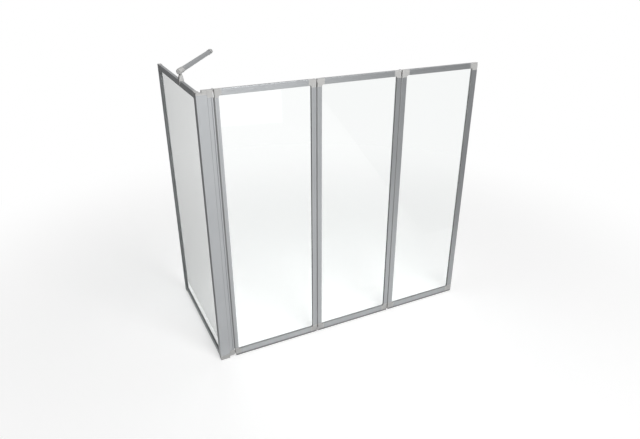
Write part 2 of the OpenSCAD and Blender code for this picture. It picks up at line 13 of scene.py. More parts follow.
import bmesh
import bpy
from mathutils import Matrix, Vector

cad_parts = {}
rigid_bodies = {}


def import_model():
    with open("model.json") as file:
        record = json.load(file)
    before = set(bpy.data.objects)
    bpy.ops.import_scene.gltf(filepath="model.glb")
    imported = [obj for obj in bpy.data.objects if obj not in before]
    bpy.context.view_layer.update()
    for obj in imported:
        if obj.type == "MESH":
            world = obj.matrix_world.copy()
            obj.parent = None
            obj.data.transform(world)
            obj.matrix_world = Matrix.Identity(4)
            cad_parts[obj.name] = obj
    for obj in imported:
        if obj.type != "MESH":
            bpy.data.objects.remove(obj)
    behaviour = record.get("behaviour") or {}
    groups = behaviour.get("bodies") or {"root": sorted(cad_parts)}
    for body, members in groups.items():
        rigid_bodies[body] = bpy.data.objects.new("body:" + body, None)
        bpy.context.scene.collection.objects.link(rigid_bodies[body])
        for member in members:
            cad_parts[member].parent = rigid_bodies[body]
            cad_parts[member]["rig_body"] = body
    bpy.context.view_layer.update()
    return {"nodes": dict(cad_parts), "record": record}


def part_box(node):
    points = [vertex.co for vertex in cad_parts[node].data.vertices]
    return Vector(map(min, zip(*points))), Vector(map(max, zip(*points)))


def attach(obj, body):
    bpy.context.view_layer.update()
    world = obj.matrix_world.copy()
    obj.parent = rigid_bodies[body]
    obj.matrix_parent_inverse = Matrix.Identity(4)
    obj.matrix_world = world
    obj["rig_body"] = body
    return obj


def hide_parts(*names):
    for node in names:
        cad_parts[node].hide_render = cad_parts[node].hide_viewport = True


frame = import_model()

scene = bpy.context.scene
scene.view_settings.view_transform = "Standard"


# ------------------------------------------------------------------ sizes
MM = 0.001
LEAVES = ("leaf_1", "leaf_2", "leaf_3")
SLOT_OF = {part["node"]: part["material_slot"] for part in frame["record"]["subparts"]}

# How far sharp edges are eased on each kind of piece
PROFILE_EDGE = 0.2 * MM
MOULDED_EDGE = 0.5 * MM
GLASS_ARRIS = 0.4 * MM
SEAL_EDGE = 0.4 * MM
SMALL_EDGE = 0.15 * MM
# Mouldings whose finest corners take only the small easing
FINELY_EASED = ("hinge_top_block", "far_bottom_block", "post_cap")
# Edges that turn by more than this many degrees are eased
EASED_FROM = 35

# Glass, and the gasket round its edge: how far the lips stand into view and off the glass
GLASS_T = 4.0 * MM
LIP = 1.0 * MM
LIP_GAP = 0.05 * MM
# Share of the gasket's reach into the frame that its groove for the pane takes
GROOVE_SHARE = 0.8
WINDOW_CORNER = 7 * MM

# Hook of a seal in a profile's key slot: neck through the wall, wider head behind it
WALL_T = 1.4 * MM
NECK_W = 2.8 * MM
HOOK_W = 6.0 * MM
HOOK_T = 1.2 * MM
# The neck starts this far inside the seal's body
NECK_ROOT = 0.3 * MM
# A hook ends this far short of its rail or seal, clear of the corner blocks' spigots
HOOK_SHORT = 21 * MM

# Drip seal: thickness of a blade and of its tip, how far the tip stands in, and the root's chamfer
BLADE_T = 1.2 * MM
BLADE_TIP = 0.5 * MM
BLADE_LEAN = 0.4 * MM
BLADE_ROOT = 0.4 * MM
# Share of the drop at which a blade starts to lean
BLADE_BEND = 0.6
# Joint seal: radius of its flanks and depth of its fold lines
BULB_R = 1.0 * MM
BULB_FOLD = 0.7 * MM

# Pins and screws
PIN_D = 4.0 * MM
PIN_HEAD_H = 1.8 * MM
PIN_CHAMFER = 0.3 * MM
SCREW_D = 3.9 * MM
SCREW_HEAD_H = 2.2 * MM
SCREW_CHAMFER = 0.15 * MM
# How much the end of a screw narrows on each side, and over what length
POINT_IN = 0.4 * MM
POINT_L = 1.2 * MM
# Share of a head's height that its upright rim takes
SCREW_RIM = 0.35
PIN_RIM = 0.3
# Cross recess, as shares of the head's width and height
RECESS_W = 0.56
RECESS_SLOT = 0.13
RECESS_DEPTH = 0.6
# Half the length of the cross at its floor and just above the head, as shares of its width
RECESS_FLOOR = 0.3
RECESS_MOUTH = 0.55

# Edges that turn by more than this many degrees stay sharp
STRIP_SHARP = 35
ROUND_SHARP = 40


# ------------------------------------------------------------------ camera
CAMERA_AT = (-0.4932, -1.9545, 1.6507)
CAMERA_AZIMUTH = -26.406
CAMERA_ELEVATION = 25.822
LENS = 30.96


def place_camera():
    """Looks down at the screen from its front left, as the photograph does."""
    data = bpy.data.cameras.new("camera")
    data.lens = LENS
    data.sensor_width = 36.0
    data.sensor_fit = "HORIZONTAL"
    data.clip_end = 100
    camera = bpy.data.objects.new("camera", data)
    scene.collection.objects.link(camera)
    azimuth = math.radians(CAMERA_AZIMUTH)
    elevation = math.radians(CAMERA_ELEVATION)
    look = Vector((
        -math.sin(azimuth) * math.cos(elevation),
        math.cos(azimuth) * math.cos(elevation),
        -math.sin(elevation),
    ))
    camera.location = CAMERA_AT
    camera.rotation_euler = look.to_track_quat("-Z", "Y").to_euler()
    scene.camera = camera


# ------------------------------------------------------------------ what the materials are made of
def new_material(name):
    """A new material with its node tree and its shader."""
    material = bpy.data.materials.new(name)
    material.use_nodes = True
    tree = material.node_tree
    return material, tree, tree.nodes["Principled BSDF"]


def object_coordinates(tree, scale=(1, 1, 1), turn=0.0):
    """Object coordinates turned back by an angle about Z, then scaled."""
    coordinates = tree.nodes.new("ShaderNodeTexCoord")
    mapping = tree.nodes.new("ShaderNodeMapping")
    mapping.vector_type = "TEXTURE"
    mapping.inputs["Rotation"].default_value = (0, 0, turn)
    mapping.inputs["Scale"].default_value = tuple(1 / s for s in scale)
    tree.links.new(coordinates.outputs["Object"], mapping.inputs["Vector"])
    return mapping.outputs["Vector"]


def noise(tree, vector, scale, detail=2.0):
    """Unevenness with this many waves a metre."""
    texture = tree.nodes.new("ShaderNodeTexNoise")
    texture.inputs["Scale"].default_value = scale
    texture.inputs["Detail"].default_value = detail
    tree.links.new(vector, texture.inputs["Vector"])
    return texture.outputs["Fac"]


def spread(tree, value, low, high):
    """Maps a noise value to the range from low to high."""
    span = tree.nodes.new("ShaderNodeMapRange")
    span.inputs["From Min"].default_value = NOISE_LOW
    span.inputs["From Max"].default_value = NOISE_HIGH
    span.inputs["To Min"].default_value = low
    span.inputs["To Max"].default_value = high
    tree.links.new(value, span.inputs["Value"])
    return span.outputs["Result"]


def between(tree, value, low, high):
    """A colour between low and high."""
    ramp = tree.nodes.new("ShaderNodeValToRGB")
    ramp.color_ramp.elements[0].position = NOISE_LOW
    ramp.color_ramp.elements[0].color = (*low, 1)
    ramp.color_ramp.elements[1].position = NOISE_HIGH
    ramp.color_ramp.elements[1].color = (*high, 1)
    tree.links.new(value, ramp.inputs["Fac"])
    return ramp.outputs["Color"]


def relief(tree, shader, height, depth):
    """Fine relief of this depth on the shader's surface."""
    bump = tree.nodes.new("ShaderNodeBump")
    bump.inputs["Distance"].default_value = depth
    tree.links.new(height, bump.inputs["Height"])
    tree.links.new(bump.outputs["Normal"], shader.inputs["Normal"])


# ------------------------------------------------------------------ materials
ALUMINIUM_DEEP = (0.445, 0.458, 0.470)
ALUMINIUM_PALE = (0.475, 0.488, 0.500)
PLASTIC_DEEP = (0.575, 0.573, 0.563)
PLASTIC_PALE = (0.60, 0.598, 0.588)
SEAL_DEEP = (0.25, 0.255, 0.255)
SEAL_PALE = (0.29, 0.295, 0.295)
STEEL_DEEP = (0.56, 0.56, 0.57)
STEEL_PALE = (0.64, 0.64, 0.65)
# How far the draw lines of a profile stretch along it, against their own width
DRAW_STRETCH = 400
GLASS_IOR = 1.45
# Most values of the noise lie between these two
NOISE_LOW = 0.3
NOISE_HIGH = 0.7


def anodised_aluminium(name, along, turn=0.0):
    """Satin anodised extrusion: fine draw lines along the profile and a slow drift of tone."""
    material, tree, shader = new_material(name)
    stretched = tuple(1 / DRAW_STRETCH if axis == along else 1 for axis in "XYZ")
    draw_lines = noise(tree, object_coordinates(tree, stretched, turn), scale=1800, detail=3)
    drift = noise(tree, object_coordinates(tree), scale=4)
    tree.links.new(between(tree, drift, ALUMINIUM_DEEP, ALUMINIUM_PALE), shader.inputs["Base Color"])
    tree.links.new(spread(tree, draw_lines, 0.40, 0.50), shader.inputs["Roughness"])
    relief(tree, shader, draw_lines, depth=0.004 * MM)
    shader.inputs["Metallic"].default_value = 0.85
    return material


def moulded_plastic():
    """Light moulded plastic: spark-eroded grain, matt, with a faint unevenness of tone."""
    material, tree, shader = new_material("moulded_plastic")
    place = object_coordinates(tree)
    grain = noise(tree, place, scale=1600)
    drift = noise(tree, place, scale=30)
    tree.links.new(between(tree, drift, PLASTIC_DEEP, PLASTIC_PALE), shader.inputs["Base Color"])
    tree.links.new(spread(tree, grain, 0.46, 0.60), shader.inputs["Roughness"])
    relief(tree, shader, grain, depth=0.02 * MM)
    return material


def soft_seal():
    """Flexible grey seal: satin skin with flow lines and a little dust in it."""
    material, tree, shader = new_material("soft_seal")
    flow = noise(tree, object_coordinates(tree), scale=900, detail=3)
    drift = noise(tree, object_coordinates(tree), scale=14)
    tree.links.new(between(tree, drift, SEAL_DEEP, SEAL_PALE), shader.inputs["Base Color"])
    tree.links.new(spread(tree, flow, 0.45, 0.62), shader.inputs["Roughness"])
    relief(tree, shader, flow, depth=0.015 * MM)
    return material


def safety_glass():
    """Clear toughened glass that lets the lamps through, with the faintest film on it."""
    material, tree, shader = new_material("safety_glass")
    film = noise(tree, object_coordinates(tree), scale=7)
    tree.links.new(spread(tree, film, 0.0, 0.012), shader.inputs["Roughness"])
    shader.inputs["Base Color"].default_value = (0.975, 0.99, 0.985, 1)
    shader.inputs["IOR"].default_value = GLASS_IOR
    shader.inputs["Transmission Weight"].default_value = 1.0
    path = tree.nodes.new("ShaderNodeLightPath")
    lets_through = tree.nodes.new("ShaderNodeBsdfTransparent")
    lets_through.inputs["Color"].default_value = (0.93, 0.95, 0.945, 1)
    mix = tree.nodes.new("ShaderNodeMixShader")
    tree.links.new(path.outputs["Is Shadow Ray"], mix.inputs[0])
    tree.links.new(shader.outputs[0], mix.inputs[1])
    tree.links.new(lets_through.outputs[0], mix.inputs[2])
    tree.links.new(mix.outputs[0], tree.nodes["Material Output"].inputs["Surface"])
    return material


def stainless_steel():
    """Bright turned steel with fine tool marks."""
    material, tree, shader = new_material("stainless_steel")
    marks = noise(tree, object_coordinates(tree, (1, 1, 6)), scale=1500)
    tree.links.new(between(tree, marks, STEEL_DEEP, STEEL_PALE), shader.inputs["Base Color"])
    tree.links.new(spread(tree, marks, 0.22, 0.36), shader.inputs["Roughness"])
    relief(tree, shader, marks, depth=0.006 * MM)
    shader.inputs["Metallic"].default_value = 1.0
    return material


# ------------------------------------------------------------------ pieces
def new_object(name, mesh):
    """An object with this mesh, in the scene."""
    made = bpy.data.objects.new(name, mesh)
    scene.collection.objects.link(made)
    return made


def stand_in(name, mesh, node):
    """A piece that takes the node's place and rides where it rides."""
    piece = new_object(name, mesh)
    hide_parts(node)
    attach(piece, frame["nodes"][node]["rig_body"])


def plain_mesh(source, name):
    """The mesh that an object's modifiers give, as plain geometry."""
    graph = bpy.context.evaluated_depsgraph_get()
    mesh = bpy.data.meshes.new_from_object(source.evaluated_get(graph), depsgraph=graph)
    mesh.name = name
    return mesh


def merged_copy(node):
    """A copy of the solid's mesh with doubled points merged and each flat face in one."""
    mesh = frame["nodes"][node].data.copy()
    shell = bmesh.new()
    shell.from_mesh(mesh)
    bmesh.ops.remove_doubles(shell, verts=shell.verts, dist=0.002 * MM)
    bmesh.ops.dissolve_limit(shell, angle_limit=math.radians(0.3), verts=shell.verts, edges=shell.edges)
    for face in shell.faces:
        face.smooth = True
    shell.to_mesh(mesh)
    shell.free()
    mesh.materials.clear()
    return mesh


def eased(node, ending, width, material):
    """The solid with its sharp edges eased by that width."""
    name = f"{node}_{ending}"
    draft = new_object("draft", merged_copy(node))
    bevel = draft.modifiers.new("eased edges", "BEVEL")
    bevel.width = width
    bevel.segments = 3
    bevel.limit_method = "ANGLE"
    bevel.angle_limit = math.radians(EASED_FROM)
    bevel.use_clamp_overlap = False
    flats = draft.modifiers.new("flat faces stay flat", "WEIGHTED_NORMAL")
    flats.keep_sharp = True
    mesh = plain_mesh(draft, name)
    bpy.data.objects.remove(draft)
    mesh.materials.clear()
    mesh.materials.append(material)
    stand_in(name, mesh, node)


def joined(name, meshes, material, sharp_from):
    """One mesh of several closed ones."""
    shell = bmesh.new()
    for mesh in meshes:
        shell.from_mesh(mesh)
    whole = bpy.data.meshes.new(name)
    shell.to_mesh(whole)
    shell.free()
    whole.materials.append(material)
    whole.set_sharp_from_angle(angle=math.radians(sharp_from))
    return whole


# ------------------------------------------------------------------ node trees that make seals and screws
def new_tree(name, inputs):
    """A geometry tree with the named inputs, given as (name, kind, value), and with its two ends."""
    tree = bpy.data.node_groups.new(name, "GeometryNodeTree")
    tree.interface.new_socket("Geometry", in_out="OUTPUT", socket_type="NodeSocketGeometry")
    for label, kind, value in inputs:
        socket = tree.interface.new_socket(label, in_out="INPUT", socket_type=f"NodeSocket{kind}")
        if value is not None:
            socket.default_value = value
    return tree, tree.nodes.new("NodeGroupInput"), tree.nodes.new("NodeGroupOutput")


def finish_tree(tree, group_in, group_out, made):
    """Realized and given its material, the made geometry leaves the tree."""
    realize = tree.nodes.new("GeometryNodeRealizeInstances")
    finish = tree.nodes.new("GeometryNodeSetMaterial")
    tree.links.new(made, realize.inputs["Geometry"])
    tree.links.new(realize.outputs["Geometry"], finish.inputs["Geometry"])
    tree.links.new(group_in.outputs["Material"], finish.inputs["Material"])
    tree.links.new(finish.outputs["Geometry"], group_out.inputs["Geometry"])


def grown(tree, name, sharp_from, **values):
    """Runs a tree with these values of its inputs and gives the mesh that it makes."""
    draft = new_object("draft", bpy.data.meshes.new("draft"))
    modifier = draft.modifiers.new("grown", "NODES")
    modifier.node_group = tree
    sockets = {s.name: s.identifier for s in tree.interface.items_tree if s.in_out == "INPUT"}
    for label, value in values.items():
        modifier[sockets[label]] = value
    mesh = plain_mesh(draft, name)
    bpy.data.objects.remove(draft)
    shell = bmesh.new()
    shell.from_mesh(mesh)
    bmesh.ops.remove_doubles(shell, verts=shell.verts, dist=0.001 * MM)
    bmesh.ops.recalc_face_normals(shell, faces=shell.faces)
    for face in shell.faces:
        face.smooth = True
    shell.to_mesh(mesh)
    shell.free()
    mesh.set_sharp_from_angle(angle=math.radians(sharp_from))
    return mesh


def section_curve(name, points):
    """A closed outline in its own X and Y, as a helper for the trees that sweep it."""
    curve = bpy.data.curves.new(name, "CURVE")
    curve.dimensions = "3D"
    spline = curve.splines.new("POLY")
    spline.points.add(len(points) - 1)
    for point, (x, y) in zip(spline.points, points):
        point.co = (x, y, 0, 1)
    spline.use_cyclic_u = True
    return new_object(name, curve)


def strip_tree():
    """Sweeps a section along a straight line from Start to End and closes both ends."""
    tree, group_in, group_out = new_tree("seal strip", [
        ("Start", "Vector", (0, 0, 0)),
        ("End", "Vector", (0, 0, 1)),
        ("Section", "Object", None),
        ("Material", "Material", None),
    ])
    line = tree.nodes.new("GeometryNodeCurvePrimitiveLine")
    tree.links.new(group_in.outputs["Start"], line.inputs["Start"])
    tree.links.new(group_in.outputs["End"], line.inputs["End"])
    section = tree.nodes.new("GeometryNodeObjectInfo")
    tree.links.new(group_in.outputs["Section"], section.inputs["Object"])
    sweep = tree.nodes.new("GeometryNodeCurveToMesh")
    sweep.inputs["Fill Caps"].default_value = True
    tree.links.new(line.outputs["Curve"], sweep.inputs["Curve"])
    tree.links.new(section.outputs["Geometry"], sweep.inputs["Profile Curve"])
    finish_tree(tree, group_in, group_out, sweep.outputs["Mesh"])
    return tree


def ring_tree():
    """Sweeps a section round a rectangle with rounded corners, then turns and moves it into place."""
    tree, group_in, group_out = new_tree("glazing ring", [
        ("Width", "Float", 1.0),
        ("Height", "Float", 1.0),
        ("Corner", "Float", WINDOW_CORNER),
        ("Centre", "Vector", (0, 0, 0)),
        ("Facing", "Vector", (0, 0, 0)),
        ("Section", "Object", None),
        ("Material", "Material", None),
    ])
    path = tree.nodes.new("GeometryNodeCurvePrimitiveQuadrilateral")
    tree.links.new(group_in.outputs["Width"], path.inputs["Width"])
    tree.links.new(group_in.outputs["Height"], path.inputs["Height"])
    fillet = tree.nodes.new("GeometryNodeFilletCurve")
    fillet.mode = "POLY"
    fillet.inputs["Count"].default_value = 8
    tree.links.new(path.outputs["Curve"], fillet.inputs["Curve"])
    tree.links.new(group_in.outputs["Corner"], fillet.inputs["Radius"])
    section = tree.nodes.new("GeometryNodeObjectInfo")
    tree.links.new(group_in.outputs["Section"], section.inputs["Object"])
    sweep = tree.nodes.new("GeometryNodeCurveToMesh")
    tree.links.new(fillet.outputs["Curve"], sweep.inputs["Curve"])
    tree.links.new(section.outputs["Geometry"], sweep.inputs["Profile Curve"])
    place = tree.nodes.new("GeometryNodeTransform")
    tree.links.new(sweep.outputs["Mesh"], place.inputs["Geometry"])
    tree.links.new(group_in.outputs["Centre"], place.inputs["Translation"])
    tree.links.new(group_in.outputs["Facing"], place.inputs["Rotation"])
    finish_tree(tree, group_in, group_out, place.outputs["Geometry"])
    return tree


def fastener_tree():
    """Puts one fastener on each seat of a row that steps evenly from First to Last."""
    tree, group_in, group_out = new_tree("row of fasteners", [
        ("First", "Vector", (0, 0, 0)),
        ("Last", "Vector", (0, 0, 1)),
        ("Count", "Int", 2),
        ("Facing", "Vector", (0, 0, 0)),
        ("Fastener", "Object", None),
        ("Material", "Material", None),
    ])
    row = tree.nodes.new("GeometryNodeMeshLine")
    row.mode = "END_POINTS"
    tree.links.new(group_in.outputs["First"], row.inputs["Start Location"])
    tree.links.new(group_in.outputs["Last"], row.inputs["Offset"])
    tree.links.new(group_in.outputs["Count"], row.inputs["Count"])
    fastener = tree.nodes.new("GeometryNodeObjectInfo")
    tree.links.new(group_in.outputs["Fastener"], fastener.inputs["Object"])
    seats = tree.nodes.new("GeometryNodeInstanceOnPoints")
    tree.links.new(row.outputs["Mesh"], seats.inputs["Points"])
    tree.links.new(fastener.outputs["Geometry"], seats.inputs["Instance"])
    tree.links.new(group_in.outputs["Facing"], seats.inputs["Rotation"])
    finish_tree(tree, group_in, group_out, seats.outputs["Instances"])
    return tree


# ------------------------------------------------------------------ seals
def arc(centre, radius, start, end, steps):
    """Points on an arc, from one angle to the other in degrees."""
    angles = [math.radians(start + (end - start) * k / steps) for k in range(steps + 1)]
    return [(centre[0] + radius * math.cos(a), centre[1] + radius * math.sin(a)) for a in angles]


def gasket_section(half_depth, reach):
    """U round the edge of the glass, seen along it: x runs out of the pane, y through it."""
    touch = GLASS_T / 2 + LIP_GAP
    nose = (half_depth - touch) / 2
    middle = (half_depth + touch) / 2
    front = arc((LIP - nose, middle), nose, 90, -90, 6)
    back = arc((LIP - nose, -middle), nose, 90, -90, 6)
    seat = [(-reach * GROOVE_SHARE, touch), (-reach * GROOVE_SHARE, -touch)]
    outline = [(-reach, half_depth)] + front + seat + back + [(-reach, -half_depth)]
    return [(-x, y) for x, y in outline[::-1]]


def glazing_gasket(panel, window, centre, turn, material, tree):
    """Gasket round a panel's pane, with a rounded lip on each face of the glass."""
    node = f"{panel}_gasket"
    low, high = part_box(node)
    depth = min(high.x - low.x, high.y - low.y)
    across = max(high.x - low.x, high.y - low.y)
    reach = (across - window[0]) / 2
    section = section_curve("gasket_section", gasket_section(depth / 2, reach))
    facing = (math.radians(90), 0, turn)
    mesh = grown(tree, f"{panel}_glazing_gasket", ROUND_SHARP, Width=window[0], Height=window[1],
                 Corner=WINDOW_CORNER, Centre=centre, Facing=facing, Section=section, Material=material)
    bpy.data.objects.remove(section)
    stand_in(f"{panel}_glazing_gasket", mesh, node)


def hook_section():
    """The hook as (across, inwards) points; its neck starts a little inside the seal's body."""
    neck = NECK_W / 2
    head = HOOK_W / 2
    half = [(neck, -NECK_ROOT), (neck, WALL_T), (head, WALL_T), (head, WALL_T + HOOK_T)]
    return half + [(-across, inwards) for across, inwards in half[::-1]]


def drip_section(width, drop):
    """Plate under the rail with two blades that taper downwards; y points down."""
    outer = width / 2
    inner = outer - BLADE_T
    tip = outer - BLADE_LEAN
    bend = BLADE_BEND * drop
    half = [
        (outer, 0),
        (outer, bend),
        (tip, drop),
        (tip - BLADE_TIP, drop),
        (inner, bend),
        (inner, BLADE_T + BLADE_ROOT),
        (inner - BLADE_ROOT, BLADE_T),
    ]
    return half + [(-across, down) for across, down in half[::-1]]


def bulb_section(width, depth):
    """Bellows between two frames: round flanks, a fold line in each face; x points into the stile."""
    face = depth / 2
    middle = -width / 2
    half = [(0, face), (middle + BULB_FOLD, face), (middle, face - BULB_FOLD), (middle - BULB_FOLD, face)]
    half += arc((-width + BULB_R, face - BULB_R), BULB_R, 90, 180, 4)
    return half + [(x, -across) for x, across in half[::-1]]


def strip(tree, material, outline, start, end):
    """A straight strip of seal with this outline."""
    section = section_curve("strip_section", outline)
    mesh = grown(tree, "strip", STRIP_SHARP, Start=start, End=end, Section=section, Material=material)
    bpy.data.objects.remove(section)
    return mesh


def drip_seal(leaf, material, tree):
    """Blades under the bottom rail, on a hook that ends before the corner blocks' spigots."""
    node = f"{leaf}_drip_seal"
    low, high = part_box(node)
    rail_low, rail_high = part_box(f"{leaf}_bottom_rail")
    top = rail_low.z
    outline = drip_section(high.y - low.y, top - low.z)
    blades = strip(tree, material, outline, (low.x, 0, top), (high.x, 0, top))
    hook_start = (rail_low.x + HOOK_SHORT, 0, top)
    hook_end = (rail_high.x - HOOK_SHORT, 0, top)
    hook_outline = [(across, -inwards) for across, inwards in hook_section()]
    hook = strip(tree, material, hook_outline, hook_start, hook_end)
    whole = joined(f"{leaf}_drip_blades", (blades, hook), material, STRIP_SHARP)
    stand_in(f"{leaf}_drip_blades", whole, node)


def joint_seal(leaf, material, tree):
    """Bulb in the gap beside the hinge stile, on a hook in the stile's key slot."""
    node = f"{leaf}_joint_seal"
    low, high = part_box(node)
    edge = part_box(f"{leaf}_hinge_stile")[0].x
    outline = bulb_section(edge - low.x, high.y - low.y)
    bulb = strip(tree, material, outline, (edge, 0, low.z), (edge, 0, high.z))
    hook_outline = [(inwards, across) for across, inwards in hook_section()]
    hook_start = (edge, 0, low.z + HOOK_SHORT)
    hook_end = (edge, 0, high.z - HOOK_SHORT)
    hook = strip(tree, material, hook_outline, hook_start, hook_end)
    whole = joined(f"{leaf}_joint_bellows", (bulb, hook), material, STRIP_SHARP)
    stand_in(f"{leaf}_joint_bellows", whole, node)


# ------------------------------------------------------------------ screws and pins
def lathed(name, outline, steps=32):
    """Turns an outline of (radius, height) points, from pole to pole, round the Z axis."""
    shell = bmesh.new()
    verts = [shell.verts.new((radius, 0, height)) for radius, height in outline]
    edges = [shell.edges.new(pair) for pair in zip(verts, verts[1:])]
    bmesh.ops.spin(shell, geom=verts + edges, cent=(0, 0, 0), axis=(0, 0, 1), angle=math.tau, steps=steps)
    bmesh.ops.remove_doubles(shell, verts=shell.verts, dist=0.0005 * MM)
    bmesh.ops.recalc_face_normals(shell, faces=shell.faces)
    mesh = bpy.data.meshes.new(name)
    shell.to_mesh(mesh)
    shell.free()
    return new_object(name, mesh)


def dome(radius, height, base, steps=6):
    """Points of a low dome from its rim on the base to its pole."""
    angles = [math.radians(90 * k / steps) for k in range(steps + 1)]
    return [(radius * math.cos(a), base + height * math.sin(a)) for a in angles]


def cross_recess(width, slot, depth, top):
    """Tapered cross, which is cut out of a screw's head."""
    shell = bmesh.new()
    for turn in (0, math.pi / 2):
        cos = math.cos(turn)
        sin = math.sin(turn)
        rings = []
        for z, half in ((top - depth, width * RECESS_FLOOR), (top + MM, width * RECESS_MOUTH)):
            corners = [(-half, -slot / 2), (half, -slot / 2), (half, slot / 2), (-half, slot / 2)]
            rings.append([shell.verts.new((x * cos - y * sin, x * sin + y * cos, z)) for x, y in corners])
        lower, upper = rings
        shell.faces.new(lower[::-1])
        shell.faces.new(upper)
        for k in range(4):
            shell.faces.new((lower[k], lower[k - 3], upper[k - 3], upper[k]))
    bmesh.ops.recalc_face_normals(shell, faces=shell.faces)
    mesh = bpy.data.meshes.new("cross_recess")
    shell.to_mesh(mesh)
    shell.free()
    return new_object("cross_recess", mesh)


def pan_screw(head_d, shank_l):
    """Pan head screw with a cross recess; the head stands on z = 0."""
    head_r = head_d / 2
    shank_r = SCREW_D / 2
    rim = SCREW_RIM * SCREW_HEAD_H
    outline = [(0, -shank_l), (shank_r - POINT_IN, -shank_l), (shank_r, -shank_l + POINT_L)]
    outline += [(shank_r, 0), (head_r - SCREW_CHAMFER, 0), (head_r, SCREW_CHAMFER)]
    outline += dome(head_r, SCREW_HEAD_H - rim, rim)
    screw = lathed("pan_screw", outline)
    recess_depth = RECESS_DEPTH * SCREW_HEAD_H
    cutter = cross_recess(RECESS_W * head_d, RECESS_SLOT * head_d, recess_depth, SCREW_HEAD_H)
    cut = screw.modifiers.new("cross recess", "BOOLEAN")
    cut.operation = "DIFFERENCE"
    cut.solver = "EXACT"
    cut.use_self = True
    cut.object = cutter
    mesh = plain_mesh(screw, "pan_screw")
    bpy.data.objects.remove(cutter)
    bpy.data.objects.remove(screw)
    return new_object("pan_screw", mesh)


def hinge_pin(low, high):
    """Domed pin through the two ears, with a small chamfer at its lower end."""
    head_r = (high.x - low.x) / 2
    shank_r = PIN_D / 2
    length = high.z - low.z - PIN_HEAD_H
    rim = PIN_RIM * PIN_HEAD_H
    outline = [(0, 0), (shank_r - PIN_CHAMFER, 0), (shank_r, PIN_CHAMFER), (shank_r, length)]
    outline += [(head_r, length), (head_r, length + rim)]
    outline += dome(head_r, PIN_HEAD_H - rim, length + rim)[1:]
    return lathed("hinge_pin", outline)


def solids_of(node):
    """The (lowest, highest) corners of each separate solid of a node, in rows from the bottom up."""
    shell = bmesh.new()
    shell.from_mesh(merged_copy(node))
    left = set(shell.verts)
    boxes = []
    while left:
        heap = [left.pop()]
        found = list(heap)
        while heap:
            vert = heap.pop()
            near = {edge.other_vert(vert) for edge in vert.link_edges} & left
            left -= near
            heap += near
            found += near
        low = Vector([min(v.co[k] for v in found) for k in range(3)])
        high = Vector([max(v.co[k] for v in found) for k in range(3)])
        boxes.append((low, high))
    shell.free()
    return sorted(boxes, key=lambda box: (round(box[0].y, 3), round(box[0].z, 3)))


def leaf_pins(leaf, material, tree):
    """The lower and the upper pin of a leaf's hinge, on one axis."""
    node = f"{leaf}_hinge_pins"
    boxes = solids_of(node)
    low, high = boxes[0]
    upper = boxes[-1][0]
    axis = (low + high) / 2
    pin = hinge_pin(low, high)
    mesh = grown(tree, f"{leaf}_domed_pins", ROUND_SHARP, First=(axis.x, axis.y, low.z),
                 Last=(axis.x, axis.y, upper.z), Count=2, Fastener=pin, Material=material)
    bpy.data.objects.remove(pin)
    stand_in(f"{leaf}_domed_pins", mesh, node)


def frame_screws(material, tree):
    """Two rows of screws: one in the post's leg, one in the wall profile's, heads on the inner side."""
    boxes = solids_of("frame_screws")
    low, high = boxes[0]
    length = high.x - low.x - SCREW_HEAD_H
    screw = pan_screw(high.z - low.z, length)
    facing = (0, math.radians(90), 0)
    per_row = len(boxes) // 2
    rows = []
    for row in (boxes[:per_row], boxes[per_row:]):
        seats = [(low.x + length, (low.y + high.y) / 2, (low.z + high.z) / 2) for low, high in row]
        rows.append(grown(tree, "row", ROUND_SHARP, First=seats[0], Last=seats[-1], Count=per_row,
                          Facing=facing, Fastener=screw, Material=material))
    mesh = joined("frame_pan_screws", rows, material, ROUND_SHARP)
    bpy.data.objects.remove(screw)
    stand_in("frame_pan_screws", mesh, "frame_screws")


# ------------------------------------------------------------------ the whole screen
def kind_of(node):
    """The node's name without its leaf."""
    return node.split("_", 2)[2] if node.startswith(LEAVES) else node


def draw_axis(node):
    """The way that a profile was drawn: along the bar, along the side, along the leaves or upright."""
    if node == "bar_tube":
        return "bar"
    if node in ("side_top_rail", "side_bottom_rail"):
        return "Y"
    return "X" if node.endswith("rail") else "Z"


def bar_direction():
    """Plan angle of the bar, from the box round its slanting tube."""
    low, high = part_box("bar_tube")
    across = high.z - low.z
    turn = math.atan2(high.y - low.y, high.x - low.x)
    # The box is longer than the run by the tube's own width at a slant, so the angle is found anew
    # from itself until it settles
    for _ in range(20):
        run_x = high.x - low.x - across * math.sin(turn)
        run_y = high.y - low.y - across * math.cos(turn)
        turn = math.atan2(run_y, run_x)
    return turn


def dress_hard_pieces(drawn, plastic, steel, seal, glass):
    """Eases and finishes each profile, moulding and pane, and the plain small pieces."""
    for node in sorted(frame["nodes"]):
        slot = SLOT_OF[node]
        if slot == "frame_aluminium":
            eased(node, "extrusion", PROFILE_EDGE, drawn[draw_axis(node)])
        elif slot == "light_plastic":
            edge = SMALL_EDGE if kind_of(node) in FINELY_EASED else MOULDED_EDGE
            eased(node, "moulding", edge, plastic)
        elif slot == "clear_glass":
            eased(node, "pane", GLASS_ARRIS, glass)
    eased("side_sill_seal", "strip", SEAL_EDGE, seal)
    eased("bar_screws", "bright", SMALL_EDGE, steel)


def window_of(panel, axis, near, far):
    """Width, height and centre of the opening between a panel's four profiles."""
    low = Vector((0, 0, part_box(f"{panel}_bottom_rail")[1].z))
    high = Vector((0, 0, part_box(f"{panel}_top_rail")[0].z))
    across = "xyz".index(axis)
    low[across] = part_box(f"{panel}_{near}")[1][across]
    high[across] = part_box(f"{panel}_{far}")[0][across]
    centre = (low + high) / 2
    glass_low, glass_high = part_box(f"{panel}_glass")
    through = 1 - across
    centre[through] = (glass_low[through] + glass_high[through]) / 2
    return (high[across] - low[across], high.z - low.z), tuple(centre)


